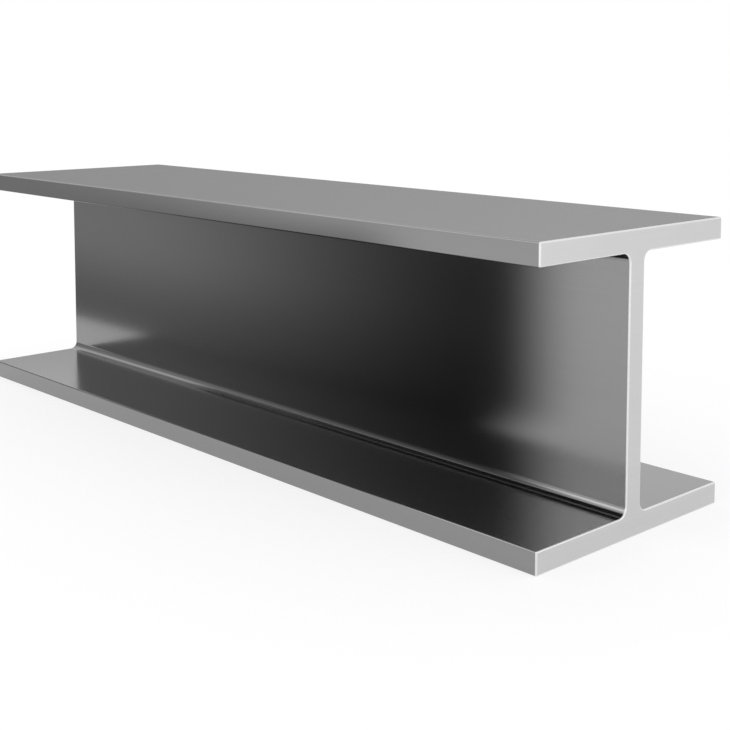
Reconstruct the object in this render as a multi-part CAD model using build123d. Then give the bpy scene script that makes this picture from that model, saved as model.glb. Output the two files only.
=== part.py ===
from build123d import *
import os

# A short length of hot-rolled wide-flange steel beam: one solid, standing on its bottom flange.
# The frame is in millimetres: X along the beam, Y across the flanges, Z up from the floor under its middle.

# Driving dimensions
beam_length = 1130.0
section_depth = 329.0
flange_width = 317.0
flange_thickness = 25.0
web_thickness = 25.0

# Rolled hollow where the web meets each flange, and the softly broken outer edges
root_radius = 11.0
edge_round = 1.6

# Places worked out from the sizes above
half_length = beam_length / 2
web_clear_depth = section_depth - 2 * flange_thickness
flange_centres = (flange_thickness / 2, section_depth - flange_thickness / 2)
web_face = web_thickness / 2
flange_toe = flange_width / 2
web_to_toe_middle = (web_face + flange_toe) / 2


def rolled_section():
    """The beam's cross-section: two flanges and a web with their four root fillets."""
    with BuildSketch(Plane.YZ) as section:
        for centre in flange_centres:
            with Locations((0, centre)):
                Rectangle(flange_width, flange_thickness)
        with Locations((0, section_depth / 2)):
            Rectangle(web_thickness, web_clear_depth)
        roots = section.vertices().filter_by(lambda corner: abs(corner.X) < web_to_toe_middle)
        fillet(roots, root_radius)
    return section.sketch


def outer_edges(stock):
    """The edges left by the saw and the rolls: each end's outline and the long edges of the flange toes."""
    ends = stock.faces().sort_by(Axis.X)
    end_outlines = ends[0].outer_wire().edges() + ends[-1].outer_wire().edges()
    long_edges = stock.edges().filter_by(Axis.X)
    toe_edges = long_edges.filter_by(lambda edge: abs(edge.center().Y) > web_to_toe_middle)
    return end_outlines + toe_edges


def i_beam():
    """The section rolled to the beam's length, sawn square at both ends, with its outer edges broken."""
    stock = extrude(rolled_section(), amount=half_length, both=True)
    return fillet(outer_edges(stock), edge_round)


os.makedirs("parts", exist_ok=True)
beam = i_beam().solid()
beam.label = "i_beam"
export_step(beam, "parts/i_beam.step")
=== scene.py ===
"""The looks of a sawn length of rolled steel beam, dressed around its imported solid, in metres."""
import logging
import math
from abc import ABC, abstractmethod
from collections.abc import Callable
from dataclasses import dataclass
from enum import Enum, IntEnum

import bmesh
import bpy
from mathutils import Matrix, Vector


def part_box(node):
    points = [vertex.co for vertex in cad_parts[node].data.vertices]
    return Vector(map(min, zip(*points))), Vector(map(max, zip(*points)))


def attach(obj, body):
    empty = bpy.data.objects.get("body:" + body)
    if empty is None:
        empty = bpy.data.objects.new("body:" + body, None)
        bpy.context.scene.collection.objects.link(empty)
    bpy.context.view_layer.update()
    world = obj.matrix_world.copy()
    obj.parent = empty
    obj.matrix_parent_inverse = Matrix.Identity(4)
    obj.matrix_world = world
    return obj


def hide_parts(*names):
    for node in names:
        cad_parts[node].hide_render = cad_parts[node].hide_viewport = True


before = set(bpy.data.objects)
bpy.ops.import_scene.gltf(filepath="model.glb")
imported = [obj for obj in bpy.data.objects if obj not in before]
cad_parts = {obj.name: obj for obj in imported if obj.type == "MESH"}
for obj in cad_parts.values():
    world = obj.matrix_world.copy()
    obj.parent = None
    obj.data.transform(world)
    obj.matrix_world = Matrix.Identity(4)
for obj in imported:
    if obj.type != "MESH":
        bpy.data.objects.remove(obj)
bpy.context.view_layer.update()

log = logging.getLogger("beam")

Triple = tuple[float, float, float]
Pair = tuple[float, float]
Socket = bpy.types.NodeSocket

BEAM_NODE = "i_beam"
MM_PER_METRE = 1000.0
ALONG = (1.0, 0.0, 0.0)
ACROSS = (0.0, 1.0, 0.0)
UP = (0.0, 0.0, 1.0)
WHITE = (1.0, 1.0, 1.0, 1.0)


class Surface(IntEnum):
    """The beam's three finishes, in the order of its material slots."""

    ROLLED = 0
    SAWN = 1
    DEBURRED = 2


class Run(Enum):
    """How a value runs between two places."""

    STRAIGHT = "LINEAR"
    SMOOTH = "SMOOTHSTEP"


class Sum(Enum):
    """The sums of two values that the materials need."""

    ADD = "ADD"
    MULTIPLY = "MULTIPLY"
    LARGER = "MAXIMUM"


@dataclass(frozen=True)
class Grain:
    """A noise's grain: how closely it lies along X, Y and Z, and its octaves of finer grain."""

    per_metre: Triple
    octaves: float = 2.0


class NodeBoard:
    """A material's node tree, with short ways to add and join its nodes."""

    NOISE_RANGE = (0.25, 0.75)
    MEAN_SHARE = 0.5

    def __init__(self, name: str) -> None:
        """Starts a material with an empty tree.

        Args:
            name: the material's name.
        """
        self.material = bpy.data.materials.new(name)
        self.material.use_nodes = True
        self.tree = self.material.node_tree
        self.tree.nodes.clear()

    def add(self, kind: str, **sockets: object) -> bpy.types.Node:
        """Adds a node and sets its input sockets.

        Args:
            kind: the node's type name.
            sockets: values by socket name, with underscores for spaces. A socket as the value is linked.

        Returns:
            The new node.
        """
        node = self.tree.nodes.new(kind)
        for name, value in sockets.items():
            self.feed(node.inputs[name.replace("_", " ")], value)
        return node

    def feed(self, socket: Socket, value: object) -> None:
        """Links an output into a socket, or sets the socket to a plain value.

        Args:
            socket: the input socket.
            value: an output socket to link, or a number, colour or vector.
        """
        if isinstance(value, Socket):
            self.tree.links.new(value, socket)
        else:
            socket.default_value = value

    def place(self) -> Socket:
        """The Object coordinates."""
        return self.add("ShaderNodeTexCoord").outputs["Object"]

    def noise(self, place: Socket, grain: Grain) -> Socket:
        """A noise whose grain may be drawn out along an axis.

        Args:
            place: the coordinates it lies on.
            grain: how fine it is.

        Returns:
            The noise's value, about 0.5 on average.
        """
        mapping = self.add("ShaderNodeMapping", Vector=place, Scale=grain.per_metre)
        stretched = mapping.outputs["Vector"]
        texture = self.add("ShaderNodeTexNoise", Vector=stretched, Scale=1.0, Detail=grain.octaves)
        return texture.outputs["Fac"]

    def run(self, value: Socket, places: Pair, results: Pair, kind: Run = Run.SMOOTH) -> Socket:
        """Runs from one result to another between two places.

        Args:
            value: the place along the run.
            places: where the run starts and ends.
            results: what it gives there and beyond.
            kind: how it gets from one to the other.

        Returns:
            The result at the value.
        """
        node = self.add("ShaderNodeMapRange", Value=value)
        node.interpolation_type = kind.value
        for socket, number in zip(("From Min", "From Max", "To Min", "To Max"), (*places, *results)):
            node.inputs[socket].default_value = number
        return node.outputs["Result"]

    def sway(self, tone: Socket, middle: float, swing: float) -> Socket:
        """Lets a value sway about its middle with a noise.

        Args:
            tone: the noise.
            middle: the value's middle.
            swing: how far a high grain lifts it and a low one drops it.

        Returns:
            The swaying value.
        """
        return self.run(tone, self.NOISE_RANGE, (middle - swing, middle + swing), Run.STRAIGHT)

    def maths(self, work: Sum, first: object, second: object) -> Socket:
        """One sum of two values.

        Args:
            work: the sum.
            first: a socket or number.
            second: a socket or number.

        Returns:
            The result.
        """
        node = self.tree.nodes.new("ShaderNodeMath")
        node.operation = work.value
        self.feed(node.inputs[0], first)
        self.feed(node.inputs[1], second)
        return node.outputs["Value"]

    def mean(self, first: Socket, second: Socket) -> Socket:
        """The mean of two values."""
        return self.maths(Sum.MULTIPLY, self.maths(Sum.ADD, first, second), self.MEAN_SHARE)

    def toward(self, place: Socket, way: Triple) -> Socket:
        """How far a place lies along a direction.

        Args:
            place: the coordinates.
            way: the direction.

        Returns:
            The dot product of the two.
        """
        node = self.tree.nodes.new("ShaderNodeVectorMath")
        node.operation = "DOT_PRODUCT"
        self.feed(node.inputs[0], place)
        self.feed(node.inputs[1], way)
        return node.outputs["Value"]

    def grey(self, level: Socket) -> Socket:
        """Makes a neutral colour of a linear grey level."""
        return self.add("ShaderNodeCombineColor", Red=level, Green=level, Blue=level).outputs["Color"]

    def mix(self, share: Socket, base: bpy.types.Node, cover: bpy.types.Node) -> bpy.types.Node:
        """Lays one shader over another.

        Args:
            share: how much of the cover shows.
            base: the shader beneath.
            cover: the shader on top.

        Returns:
            The mixed shader.
        """
        node = self.tree.nodes.new("ShaderNodeMixShader")
        for socket, value in zip(node.inputs, (share, base.outputs[0], cover.outputs[0])):
            self.feed(socket, value)
        return node

    def finish(self, shader: bpy.types.Node) -> bpy.types.Material:
        """Joins the shader to the output.

        Args:
            shader: the surface shader.

        Returns:
            The finished material.
        """
        output = self.tree.nodes.new("ShaderNodeOutputMaterial")
        self.tree.links.new(shader.outputs[0], output.inputs["Surface"])
        return self.material


@dataclass(frozen=True)
class SteelFinish(ABC):
    """A bare steel surface: its grey and gloss, how far they sway, and its fine relief."""

    name: str
    grey: float
    roughness: float
    grey_swing: float = 0.0
    roughness_swing: float = 0.0
    relief: float = 0.0
    relief_strength: float = 0.0

    @abstractmethod
    def grain(self, board: NodeBoard, place: Socket) -> tuple[Socket, Socket]:
        """Lays out the finish's noises.

        Args:
            board: the material's nodes.
            place: the coordinates.

        Returns:
            The tone that sways grey and gloss, and the height of the relief.
        """

    def material(self) -> bpy.types.Material:
        """Makes the finish's material.

        Returns:
            The material, on Object coordinates, glossier where it is paler.
        """
        board = NodeBoard(self.name)
        tone, height = self.grain(board, board.place())
        bump = board.add(
            "ShaderNodeBump",
            Strength=self.relief_strength,
            Distance=self.relief,
            Height=height,
        )
        steel = board.add(
            "ShaderNodeBsdfPrincipled",
            Base_Color=board.grey(board.sway(tone, self.grey, self.grey_swing)),
            Metallic=1.0,
            Roughness=board.sway(tone, self.roughness, -self.roughness_swing),
            Normal=bump.outputs["Normal"],
        )
        return board.finish(steel)


@dataclass(frozen=True)
class RolledSkin(SteelFinish):
    """The satin skin off the rolls: fine streaks along the beam over broad soft mottling."""

    grey_swing: float = 0.006
    roughness_swing: float = 0.012
    relief: float = 0.00002
    relief_strength: float = 0.015
    streaks: Grain = Grain((5.0, 260.0, 260.0), octaves=3.0)
    mottle: Grain = Grain((4.0, 9.0, 9.0))
    pits: Grain = Grain((420.0, 600.0, 600.0))

    def grain(self, board: NodeBoard, place: Socket) -> tuple[Socket, Socket]:
        """Lays out the streaks, mottling and fine pits.

        Args:
            board: the material's nodes.
            place: the coordinates.

        Returns:
            The tone of streaks and mottling, and the height of streaks and pits.
        """
        streaks = board.noise(place, self.streaks)
        tone = board.mean(streaks, board.noise(place, self.mottle))
        return tone, board.maths(Sum.ADD, streaks, board.noise(place, self.pits))


@dataclass(frozen=True)
class SawnFace(SteelFinish):
    """The paler face that the saw leaves, with its fine level marks."""

    grey_swing: float = 0.016
    roughness_swing: float = 0.03
    relief: float = 0.00003
    relief_strength: float = 0.02
    marks: Grain = Grain((1.0, 6.0, 420.0))
    mottle: Grain = Grain((12.0, 12.0, 12.0))

    def grain(self, board: NodeBoard, place: Socket) -> tuple[Socket, Socket]:
        """Lays out the saw's marks and the mottling.

        Args:
            board: the material's nodes.
            place: the coordinates.

        Returns:
            The tone of marks and mottling, and the height of the marks.
        """
        marks = board.noise(place, self.marks)
        return board.mean(marks, board.noise(place, self.mottle)), marks


@dataclass(frozen=True)
class DeburredEdge(SteelFinish):
    """The bright rounded edge where the saw's burr was dressed off."""

    grey_swing: float = 0.03
    roughness_swing: float = 0.04
    relief: float = 0.00002
    relief_strength: float = 0.15
    scratches: Grain = Grain((300.0, 300.0, 300.0))

    def grain(self, board: NodeBoard, place: Socket) -> tuple[Socket, Socket]:
        """Lays out the file's scratches.

        Args:
            board: the material's nodes.
            place: the coordinates.

        Returns:
            The scratches, as tone and as height.
        """
        scratches = board.noise(place, self.scratches)
        return scratches, scratches


class Workpiece:
    """A mesh in edit mode, whose faces and edges are chosen by place or direction and then shaped."""

    def __init__(self, piece: bpy.types.Object) -> None:
        """Takes the object being modelled.

        Args:
            piece: a mesh object, in edit mode.
        """
        self.piece = piece

    def choose_faces(self, wanted: Callable[[bmesh.types.BMFace], bool]) -> None:
        """Selects just the faces that a test accepts.

        Args:
            wanted: the test.
        """
        bpy.ops.mesh.select_mode(type="FACE")
        bpy.ops.mesh.select_all(action="DESELECT")
        mesh = bmesh.from_edit_mesh(self.piece.data)
        for face in mesh.faces:
            face.select_set(wanted(face))
        bmesh.update_edit_mesh(self.piece.data)

    def choose_edges(self, wanted: Callable[[bmesh.types.BMEdge], bool]) -> None:
        """Selects just the edges that a test accepts.

        Args:
            wanted: the test.
        """
        bpy.ops.mesh.select_mode(type="EDGE")
        bpy.ops.mesh.select_all(action="DESELECT")
        mesh = bmesh.from_edit_mesh(self.piece.data)
        for edge in mesh.edges:
            edge.select_set(wanted(edge))
        bmesh.update_edit_mesh(self.piece.data)

    def cut(self, level: float) -> None:
        """Cuts the whole mesh along a level plane."""
        bpy.ops.mesh.select_all(action="SELECT")
        bpy.ops.mesh.bisect(plane_co=(0.0, 0.0, level), plane_no=UP)

    def draw_out(self, way: Triple) -> None:
        """Extrudes what is chosen by a vector."""
        bpy.ops.mesh.extrude_region_move(TRANSFORM_OT_translate={"value": way})

    def round_off(self, radius: float, steps: int) -> None:
        """Rounds the chosen edges."""
        bpy.ops.mesh.bevel(offset=radius, offset_type="OFFSET", segments=steps, affect="EDGES")

    def assign(self, surface: Surface) -> None:
        """Puts the chosen faces in a finish's material slot."""
        self.piece.active_material_index = surface
        bpy.ops.object.material_slot_assign()


@dataclass
class RolledBeam:
    """The beam as one mesh: a web slab whose upper and lower edges are drawn out into flanges."""

    low: Vector
    high: Vector
    flange_thickness: float = 0.025
    web_thickness: float = 0.025
    root_radius: float = 0.011
    root_steps: int = 14
    edge_round: float = 0.0016
    edge_steps: int = 5
    flat_angle: float = math.radians(0.5)
    sharp_angle: float = math.radians(60.0)
    place_slack: float = 0.00001

    @property
    def length(self) -> float:
        """The beam's length along X."""
        return self.high.x - self.low.x

    @property
    def depth(self) -> float:
        """The section's depth along Z."""
        return self.high.z - self.low.z

    @property
    def overhang(self) -> float:
        """How far each flange stands out past the web."""
        return (self.high.y - self.low.y - self.web_thickness) / 2

    @property
    def flange_levels(self) -> Pair:
        """The heights of the flanges' inner faces."""
        return self.low.z + self.flange_thickness, self.high.z - self.flange_thickness

    def build(self) -> bpy.types.Object:
        """Models the beam.

        Returns:
            The mesh object, at the origin, with its faces in their slots.
        """
        beam = self.web_slab()
        bpy.ops.object.mode_set(mode="EDIT")
        work = Workpiece(beam)
        self.draw_out_flanges(work)
        self.hollow_roots(work)
        self.break_edges(work)
        self.mark_sawn_ends(work)
        bpy.ops.object.mode_set(mode="OBJECT")
        self.smooth(beam)
        return beam

    def web_slab(self) -> bpy.types.Object:
        """The upright slab that the section grows from.

        Returns:
            A box of the web's thickness and the section's full depth, with a slot for each finish.
        """
        bpy.ops.object.select_all(action="DESELECT")
        bpy.ops.mesh.primitive_cube_add(size=1.0, location=(self.low + self.high) / 2)
        slab = bpy.context.object
        slab.name = slab.data.name = "rolled_beam"
        slab.scale = (self.length, self.web_thickness, self.depth)
        bpy.ops.object.transform_apply(location=True, rotation=True, scale=True)
        for _ in Surface:
            bpy.ops.object.material_slot_add()
        return slab

    def draw_out_flanges(self, work: Workpiece) -> None:
        """Cuts the slab at the flanges' inner faces and extrudes its edge strips sideways.

        Args:
            work: the slab.
        """
        lower, upper = self.flange_levels
        work.cut(lower)
        work.cut(upper)
        facing = math.cos(self.sharp_angle)
        for side in (-1.0, 1.0):
            work.choose_faces(
                lambda face: face.normal.y * side > facing
                and not lower < face.calc_center_median().z < upper
            )
            work.draw_out((0.0, side * self.overhang, 0.0))
        bpy.ops.mesh.select_all(action="SELECT")
        bpy.ops.mesh.normals_make_consistent(inside=False)
        bpy.ops.mesh.dissolve_limited(angle_limit=self.flat_angle)

    def hollow_roots(self, work: Workpiece) -> None:
        """Rounds the four inner corners where the web meets the flanges.

        Args:
            work: the sharp section.
        """
        web_face = self.web_thickness / 2
        work.choose_edges(
            lambda edge: all(
                abs(abs(corner.co.y) - web_face) < self.place_slack
                and min(abs(corner.co.z - level) for level in self.flange_levels) < self.place_slack
                for corner in edge.verts
            )
            and edge.calc_length() > self.length / 2
        )
        work.round_off(self.root_radius, self.root_steps)

    def break_edges(self, work: Workpiece) -> None:
        """Rounds the outlines of both ends and the long edges of the flange toes.

        Args:
            work: the section with its roots.
        """
        work.choose_edges(lambda edge: edge.calc_face_angle() > self.sharp_angle)
        work.round_off(self.edge_round, self.edge_steps)

    def mark_sawn_ends(self, work: Workpiece) -> None:
        """Puts the end faces and the rounds about them in their own slots.

        Args:
            work: the finished shape.
        """
        end_start = self.length / 2 - self.edge_round - self.place_slack
        work.choose_faces(lambda face: abs(face.calc_center_median().x) > end_start)
        work.assign(Surface.DEBURRED)
        work.choose_faces(lambda face: abs(face.normal.x) > math.cos(self.flat_angle))
        work.assign(Surface.SAWN)

    def smooth(self, beam: bpy.types.Object) -> None:
        """Shades the rounds smooth and keeps the broad faces flat.

        Args:
            beam: the finished mesh, in object mode.
        """
        bpy.ops.object.shade_smooth_by_angle(angle=self.sharp_angle)
        beam.modifiers.new("face_weighted_normals", "WEIGHTED_NORMAL")
        bpy.ops.object.modifier_apply(modifier="face_weighted_normals")

    def dress(self, beam: bpy.types.Object, finishes: dict[Surface, SteelFinish]) -> None:
        """Gives each slot its finish, hides the imported solid and hangs the mesh on the root body.

        Args:
            beam: the finished mesh.
            finishes: the finish of each slot.
        """
        for surface, finish in finishes.items():
            beam.material_slots[surface].material = finish.material()
        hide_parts(BEAM_NODE)
        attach(beam, "root")


@dataclass(frozen=True)
class Softbox:
    """A broad studio lamp aimed at the beam, set by where it stands as seen from its target."""

    name: str
    target: Triple
    bearing: float
    climb: float
    reach: float
    width: float
    height: float
    level: float

    def build(self) -> bpy.types.Object:
        """Hangs the lamp.

        Returns:
            The lamp object, whose face is as bright as a white room times its level.
        """
        lamp = bpy.data.lights.new(self.name, "AREA")
        lamp.shape = "RECTANGLE"
        lamp.size = self.width
        lamp.size_y = self.height
        lamp.energy = self.level * math.pi * self.width * self.height
        holder = bpy.data.objects.new(self.name, lamp)
        flat = math.cos(self.climb)
        ahead = flat * math.cos(self.bearing)
        aside = flat * math.sin(self.bearing)
        away = Vector((ahead, aside, math.sin(self.climb)))
        holder.location = Vector(self.target) + away * self.reach
        holder.rotation_euler = (-away).to_track_quat("-Z", "Y").to_euler()
        holder.visible_camera = False
        bpy.context.scene.collection.objects.link(holder)
        return holder


@dataclass(frozen=True)
class Shade:
    """A glowing grey that paints reflected shade, changing smoothly from a near to a far place along one
    way.
    """

    grey: float
    far_grey: float
    near: float
    far: float
    way: Triple = ALONG

    def material(self, name: str) -> bpy.types.Material:
        """Makes the shaded card's material.

        Args:
            name: the material's name.

        Returns:
            The material, on Object coordinates.
        """
        board = NodeBoard(name)
        return board.finish(self.shader(board, board.place()))

    def shader(self, board: NodeBoard, place: Socket) -> bpy.types.Node:
        """The card's shader.

        Args:
            board: the material's nodes.
            place: the coordinates.

        Returns:
            The shader node.
        """
        along = board.toward(place, self.way)
        tone = board.run(along, (self.near, self.far), (self.grey, self.far_grey))
        # The card glows at its painted tone instead of being lit: a painted reflection of shaded
        # surroundings.
        return board.add("ShaderNodeEmission", Color=board.grey(tone), Strength=1.0)


@dataclass(frozen=True)
class FeatheredShade(Shade):
    """A shade that darkens towards its foot with painted shade and thins away at its top and its
    slanting near edge.
    """

    foot_share: float = 0.52
    foot_fade: Pair = (0.01, 0.16)
    top_fade: Pair = (0.23, 0.33)
    edge_fade: Pair = (0.247, 0.386)
    edge_slant: Triple = (1.0, -0.3, 0.02)

    def shader(self, board: NodeBoard, place: Socket) -> bpy.types.Node:
        """The card's shader.

        Args:
            board: the material's nodes.
            place: the coordinates.

        Returns:
            The shader node, clear beyond the fades.
        """
        upward = board.toward(place, UP)
        sheet = super().shader(board, place)
        # Painted shade: the glow dims towards the foot, standing in for the shade low down beside the
        # beam.
        board.feed(sheet.inputs["Strength"], board.run(upward, self.foot_fade, (self.foot_share, 1.0)))
        below_top = board.run(upward, self.top_fade, (1.0, 0.0))
        within_edge = board.run(board.toward(place, self.edge_slant), self.edge_fade, (1.0, 0.0))
        cover = board.maths(Sum.MULTIPLY, below_top, within_edge)
        return board.mix(cover, board.add("ShaderNodeBsdfTransparent"), sheet)


@dataclass(frozen=True)
class Card:
    """An upright card on the floor, which only the steel's reflections see."""

    name: str
    start: Pair
    end: Pair
    height: float
    shade: Shade

    def build(self) -> bpy.types.Object:
        """Stands the card on the floor.

        Returns:
            The card, hidden from the camera, from diffuse light and from shadows.
        """
        card = self.stand()
        self.fold(card)
        card.data.materials.append(self.shade.material(f"{self.name}_shade"))
        card.visible_camera = False
        card.visible_diffuse = False
        card.visible_transmission = False
        card.visible_shadow = False
        return card

    def stand(self) -> bpy.types.Object:
        """The plain upright sheet.

        Returns:
            The sheet, at the origin.
        """
        bpy.ops.object.select_all(action="DESELECT")
        bpy.ops.mesh.primitive_plane_add(size=1.0, rotation=(math.pi / 2, 0.0, 0.0))
        card = bpy.context.object
        card.name = card.data.name = self.name
        run = Vector(self.end) - Vector(self.start)
        card.scale = (run.length, self.height, 1.0)
        card.rotation_euler.z = math.atan2(run.y, run.x)
        middle = (Vector(self.start) + Vector(self.end)) / 2
        card.location = (middle.x, middle.y, self.height / 2)
        bpy.ops.object.transform_apply(location=True, rotation=True, scale=True)
        return card

    def fold(self, card: bpy.types.Object) -> None:
        """A plain card has no folds."""


@dataclass(frozen=True)
class FoldedCard(Card):
    """A card along the beam with a foot and a shelf turned in towards the beam."""

    foot_level: float = 0.0243
    foot: float = 0.121
    shelf_level: float = 0.25
    shelf: float = 0.135

    def fold(self, card: bpy.types.Object) -> None:
        """Lifts the sheet's lower edge and draws the foot and the shelf out of it.

        Args:
            card: the upright sheet.
        """
        bpy.ops.object.mode_set(mode="EDIT")
        work = Workpiece(card)
        work.choose_edges(lambda edge: self.lies_at(edge, 0.0))
        bpy.ops.transform.translate(value=(0.0, 0.0, self.foot_level))
        work.draw_out((0.0, self.foot, 0.0))
        work.cut(self.shelf_level)
        work.choose_edges(lambda edge: self.lies_at(edge, self.shelf_level))
        work.draw_out((0.0, self.shelf, 0.0))
        bpy.ops.object.mode_set(mode="OBJECT")

    def lies_at(self, edge: bmesh.types.BMEdge, level: float) -> bool:
        """Whether an edge runs level at a height."""
        return all(abs(corner.co.z - level) < self.foot_level / 2 for corner in edge.verts)


@dataclass(frozen=True)
class Camera:
    """The photograph's viewpoint."""

    place: Triple
    yaw: float
    pitch: float
    lens: float
    shift: float
    sensor: float = 36.0

    def build(self) -> bpy.types.Object:
        """Sets the camera up and makes it the scene's own.

        Returns:
            The camera object.
        """
        data = bpy.data.cameras.new("photo_camera")
        data.sensor_width = self.sensor
        data.lens = self.lens
        data.shift_y = self.shift
        camera = bpy.data.objects.new("photo_camera", data)
        camera.location = self.place
        level = math.cos(self.pitch)
        aim = Vector((-math.sin(self.yaw) * level, math.cos(self.yaw) * level, -math.sin(self.pitch)))
        camera.rotation_euler = aim.to_track_quat("-Z", "Y").to_euler()
        bpy.context.scene.collection.objects.link(camera)
        bpy.context.scene.camera = camera
        return camera


@dataclass
class Studio:
    """The white room: floor, surroundings, lamps, cards and camera."""

    camera: Camera
    lamps: tuple[Softbox, ...]
    cards: tuple[Card, ...]
    floor_side: float = 60.0
    floor_grey: float = 0.95
    floor_glow: float = 1.03
    white_share: float = 0.7
    world_level: float = 1.0

    def build(self) -> None:
        """Sets up the whole studio."""
        bpy.context.scene.view_settings.view_transform = "Standard"
        self.surround()
        self.floor()
        for fitting in (*self.cards, *self.lamps):
            fitting.build()
        self.camera.build()

    def surround(self) -> None:
        """White light from all sides."""
        world = bpy.data.worlds.new("white_room")
        world.use_nodes = True
        background = world.node_tree.nodes["Background"]
        background.inputs["Color"].default_value = WHITE
        background.inputs["Strength"].default_value = self.world_level
        bpy.context.scene.world = world

    def floor(self) -> bpy.types.Object:
        """A white floor that keeps the beam's soft shadow.

        Returns:
            The floor.
        """
        bpy.ops.object.select_all(action="DESELECT")
        bpy.ops.mesh.primitive_plane_add(size=self.floor_side)
        floor = bpy.context.object
        floor.name = floor.data.name = "floor"
        floor.data.materials.append(self.floor_paint())
        return floor

    def floor_paint(self) -> bpy.types.Material:
        """The floor's paint, lit up to white where the camera or a reflection sees it.

        Returns:
            The material.
        """
        board = NodeBoard("white_floor")
        path = board.add("ShaderNodeLightPath").outputs
        seen = board.maths(Sum.LARGER, path["Is Camera Ray"], path["Is Glossy Ray"])
        seen = board.maths(Sum.LARGER, seen, path["Is Transmission Ray"])
        grey = self.floor_grey
        paint = board.add("ShaderNodeBsdfDiffuse", Color=(grey, grey, grey, 1.0))
        glow = board.add("ShaderNodeEmission", Color=WHITE, Strength=self.floor_glow)
        return board.finish(board.mix(board.maths(Sum.MULTIPLY, seen, self.white_share), paint, glow))


def steel_finishes() -> dict[Surface, SteelFinish]:
    """The finishes of the beam.

    Returns:
        The finish of each surface.
    """
    return {
        Surface.ROLLED: RolledSkin("rolled_skin", grey=0.28, roughness=0.18),
        Surface.SAWN: SawnFace("sawn_face", grey=0.585, roughness=0.36),
        Surface.DEBURRED: DeburredEdge("deburred_edge", grey=0.75, roughness=0.3),
    }


def softboxes() -> tuple[Softbox, ...]:
    """The lamps, all aimed at the beam's near end.

    Returns:
        The front, right and left lamps.
    """
    near_end = (0.5, 0.0, 0.1)
    front = Softbox(
        "front_softbox",
        target=near_end,
        bearing=math.radians(-45.0),
        climb=math.radians(5.0),
        reach=2.4,
        width=1.6,
        height=0.8,
        level=0.9,
    )
    right = Softbox(
        "right_softbox",
        target=near_end,
        bearing=math.radians(28.0),
        climb=math.radians(12.0),
        reach=2.2,
        width=1.2,
        height=1.1,
        level=0.6,
    )
    left = Softbox(
        "left_softbox",
        target=near_end,
        bearing=math.radians(-130.0),
        climb=math.radians(23.0),
        reach=2.6,
        width=1.8,
        height=0.8,
        level=1.05,
    )
    return front, right, left


def reflected_cards() -> tuple[Card, ...]:
    """The glowing cards whose painted tones stand for the dim, shaded surroundings which the satin steel
    mirrors.

    Returns:
        The dark card beside the web, a painted shade that darkens the web's reflection, the grey one
        past the far end and the broad one behind.
    """
    # Painted shade: the trough card glows darkest by the near end and paler towards the far end, so the
    # web mirrors a shadowed surrounding.
    trough = FoldedCard(
        "trough_card",
        start=(-1.6, -0.28),
        end=(0.4, -0.28),
        height=0.33,
        shade=FeatheredShade(grey=0.032, far_grey=0.465, near=0.2, far=-0.85),
    )
    # Painted reflections: the left and back cards glow in grey tones that the flanges and toes mirror.
    left = Card(
        "left_card",
        start=(-2.0, -2.5),
        end=(-2.0, 0.45),
        height=0.75,
        shade=Shade(grey=0.42, far_grey=1.0, near=-0.7, far=-2.4, way=ACROSS),
    )
    back = Card(
        "back_card",
        start=(-15.6, 2.05),
        end=(-6.6, 12.4),
        height=2.9,
        shade=Shade(grey=0.43, far_grey=0.34, near=-6.6, far=-13.2),
    )
    return trough, left, back


def photo_camera() -> Camera:
    """The viewpoint fitted to the photograph.

    Returns:
        The camera, with part of the photograph's vertical shift.
    """
    return Camera(
        place=(1.3351, -1.0945, 0.4884),
        yaw=math.radians(47.354),
        pitch=math.radians(4.878),
        lens=62.664,
        shift=-0.25,
    )


def main() -> None:
    """Builds the beam, dresses it and sets up the studio."""
    logging.basicConfig(level=logging.INFO, format="%(name)s: %(message)s")
    low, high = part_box(BEAM_NODE)
    beam = RolledBeam(low, high)
    piece = beam.build()
    beam.dress(piece, steel_finishes())
    faces = len(piece.data.polygons)
    log.info("%s: %d faces, %.0f mm long", piece.name, faces, beam.length * MM_PER_METRE)
    studio = Studio(photo_camera(), softboxes(), reflected_cards())
    studio.build()
    log.info("studio: %d lamps and %d cards", len(studio.lamps), len(studio.cards))


if __name__ == "__main__":
    main()
